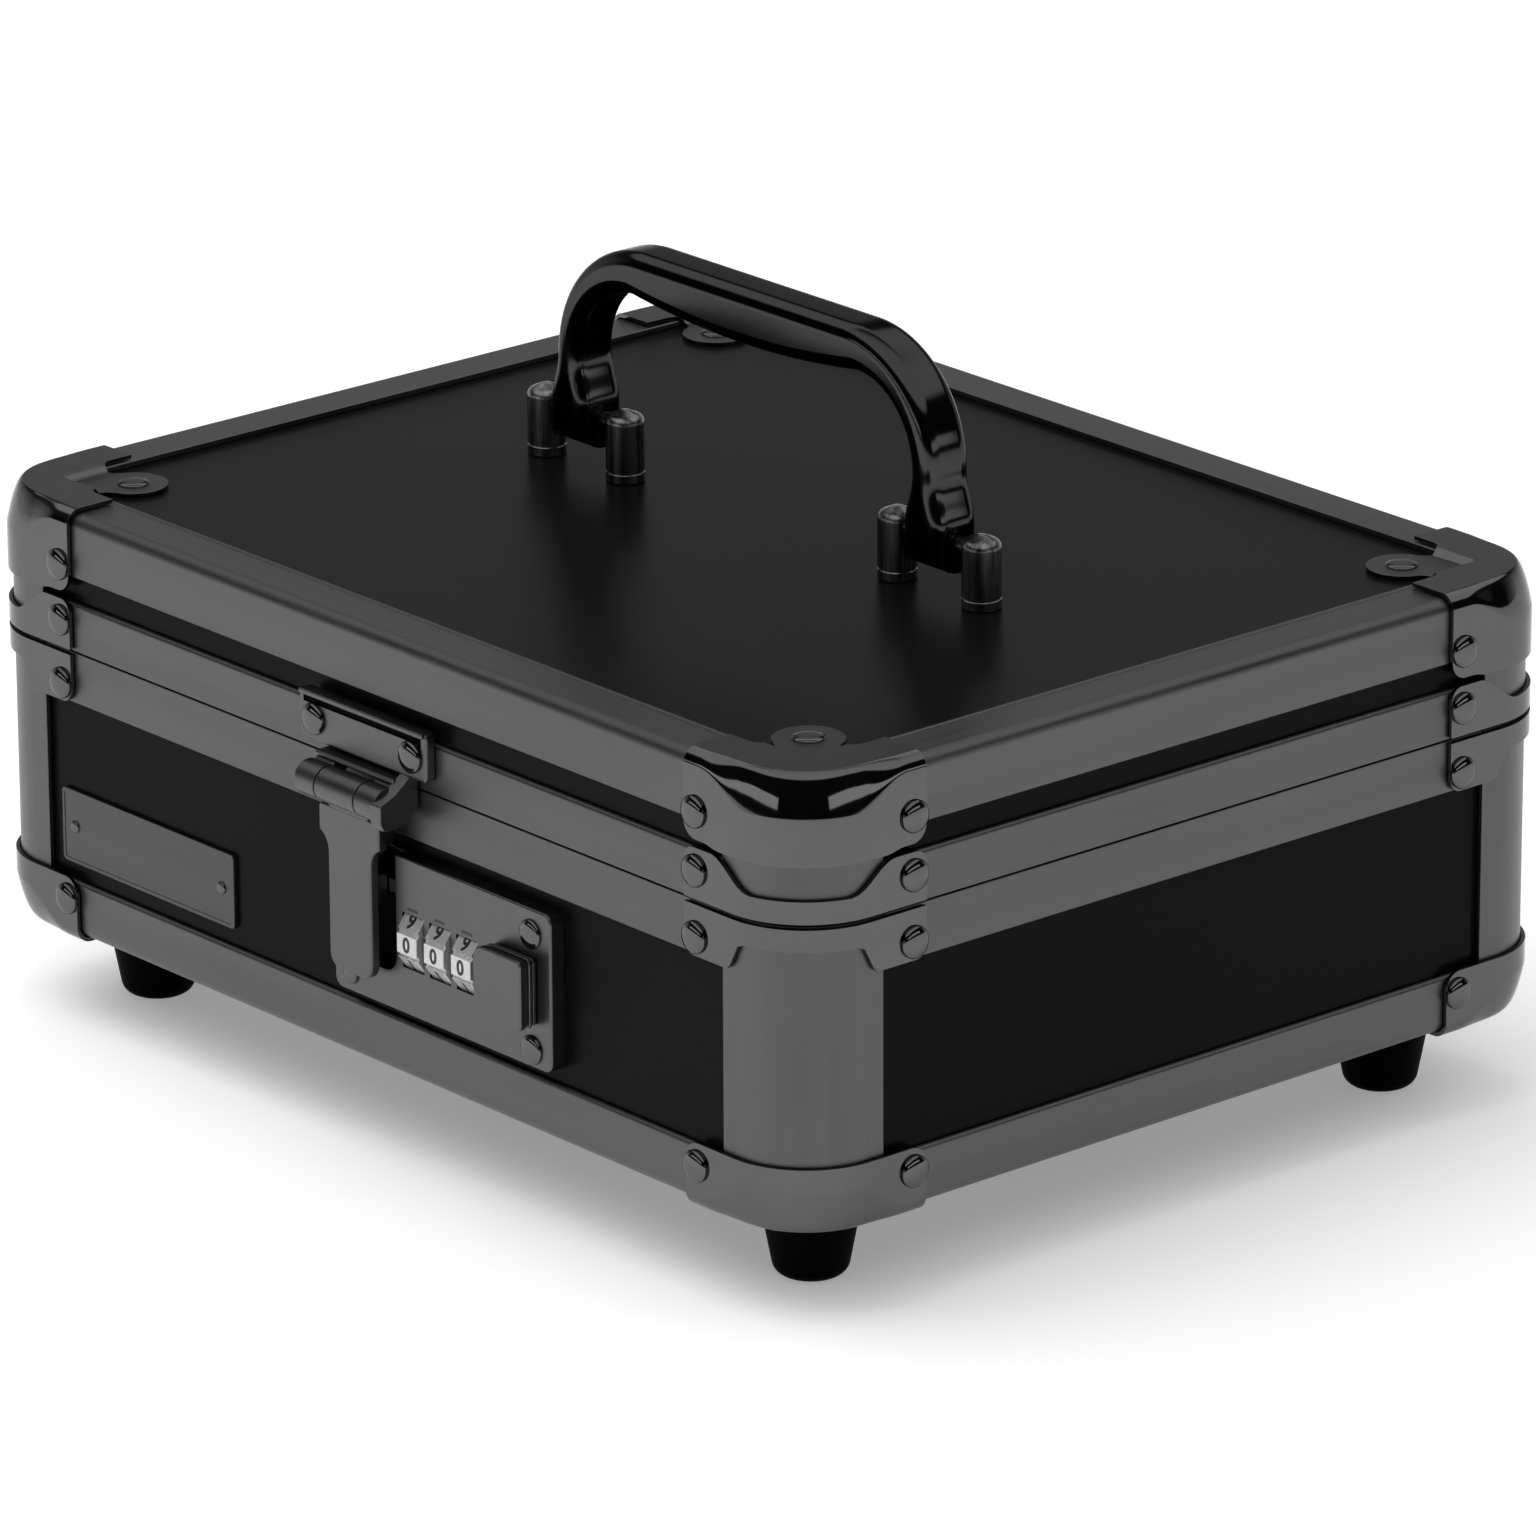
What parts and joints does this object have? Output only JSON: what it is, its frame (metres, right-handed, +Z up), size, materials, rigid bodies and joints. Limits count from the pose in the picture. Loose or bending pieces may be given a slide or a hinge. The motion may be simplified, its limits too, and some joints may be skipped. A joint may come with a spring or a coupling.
{
  "type": "combination cash box",
  "caption": "Carry-handled lockable cash box: black panels in metal edge profiles, capped corners, hinged lid, hasp with dial lock, lift-out coin tray.",
  "frame": {"origin": "middle of the overall box at rest, on the plane that the feet stand on", "axes": "+X to the right along the front, +Y from the front to the back, +Z up"},
  "size_m": [0.2898, 0.243, 0.1788],
  "materials": {
    "edge_profile": "brushed, dark grey anodised",
    "black_board": "black laminate on fibre board",
    "plated_corner": "dark chrome plated sheet steel",
    "black_chrome": "black chrome casting",
    "foot_rubber": "matt",
    "dial_metal": "bright, black figures",
    "plain_steel": "plain",
    "tray_plastic": "moulded, fine grain"
  },
  "bodies": {
    "base": {"base_front_board": "black_board", "base_back_board": "black_board", "base_left_board": "black_board", "base_right_board": "black_board", "base_floor_board": "black_board", "bottom_rail_front": "edge_profile", "bottom_rail_right": "edge_profile", "bottom_rail_back": "edge_profile", "bottom_rail_left": "edge_profile", "base_rim_rail_front": "edge_profile", "base_rim_rail_right": "edge_profile", "base_rim_rail_back": "edge_profile", "base_rim_rail_left": "edge_profile", "base_corner_post_front_left": "edge_profile", "base_corner_post_front_right": "edge_profile", "base_corner_post_back_right": "edge_profile", "base_corner_post_back_left": "edge_profile", "bottom_cap_front_left": "plated_corner", "bottom_cap_front_right": "plated_corner", "bottom_cap_back_right": "plated_corner", "bottom_cap_back_left": "plated_corner", "foot_front_left": "foot_rubber", "foot_front_right": "foot_rubber", "foot_back_right": "foot_rubber", "foot_back_left": "foot_rubber", "name_plate": "edge_profile", "lock_plate": "black_chrome", "lock_case": "plain_steel", "hinge_leaf_lower_left": "plain_steel", "hinge_leaf_lower_right": "plain_steel"},
    "lid": {"lid_board_box": "black_board", "top_rail_front": "edge_profile", "top_rail_right": "edge_profile", "top_rail_back": "edge_profile", "top_rail_left": "edge_profile", "lid_rim_rail_front": "edge_profile", "lid_rim_rail_right": "edge_profile", "lid_rim_rail_back": "edge_profile", "lid_rim_rail_left": "edge_profile", "lid_corner_post_front_left": "edge_profile", "lid_corner_post_front_right": "edge_profile", "lid_corner_post_back_right": "edge_profile", "lid_corner_post_back_left": "edge_profile", "top_cap_front_left": "plated_corner", "top_cap_front_right": "plated_corner", "top_cap_back_right": "plated_corner", "top_cap_back_left": "plated_corner", "hinge_leaf_upper_left": "plain_steel", "hinge_leaf_upper_right": "plain_steel", "hasp_plate": "black_chrome", "handle_posts_left": "black_chrome", "handle_posts_right": "black_chrome"},
    "handle": {"handle": "black_chrome"},
    "hasp": {"hasp_arm": "black_chrome"},
    "dial_1": {"dial_1": "dial_metal"},
    "dial_2": {"dial_2": "dial_metal"},
    "dial_3": {"dial_3": "dial_metal"},
    "slide": {"slide_button": "black_chrome", "lock_bolt": "plain_steel"},
    "tray": {"coin_tray": "tray_plastic"}
  },
  "joints": [
    {"name": "lid_hinge", "type": "hinge", "parent": "base", "child": "lid", "pos_m": [0, 0.1184, 0.0907], "axis": [-1, 0, 0], "range_deg": [0, 100]},
    {"name": "handle_pivot", "type": "hinge", "parent": "lid", "child": "handle", "pos_m": [0, 0.0023, 0.13455], "axis": [1, 0, 0], "range_deg": [-90, 90]},
    {"name": "hasp_pivot", "type": "hinge", "parent": "lid", "child": "hasp", "pos_m": [0.0005, -0.1173, 0.0876], "axis": [-1, 0, 0], "range_deg": [0, 150]},
    {"name": "dial_1_turn", "type": "hinge", "parent": "base", "child": "dial_1", "pos_m": [0.0168, -0.1059, 0.0555], "axis": [1, 0, 0], "continuous": true},
    {"name": "dial_2_turn", "type": "hinge", "parent": "base", "child": "dial_2", "pos_m": [0.0261, -0.1059, 0.0555], "axis": [1, 0, 0], "continuous": true},
    {"name": "dial_3_turn", "type": "hinge", "parent": "base", "child": "dial_3", "pos_m": [0.0354, -0.1059, 0.0555], "axis": [1, 0, 0], "continuous": true},
    {"name": "button_slide", "type": "slide", "parent": "base", "child": "slide", "axis": [1, 0, 0], "range_m": [0, 0.0032], "stiffness_N_per_m": 300},
    {"name": "tray_lift", "type": "slide", "parent": "base", "child": "tray", "axis": [0, 0, 1], "range_m": [0, 0.024]}
  ]
}
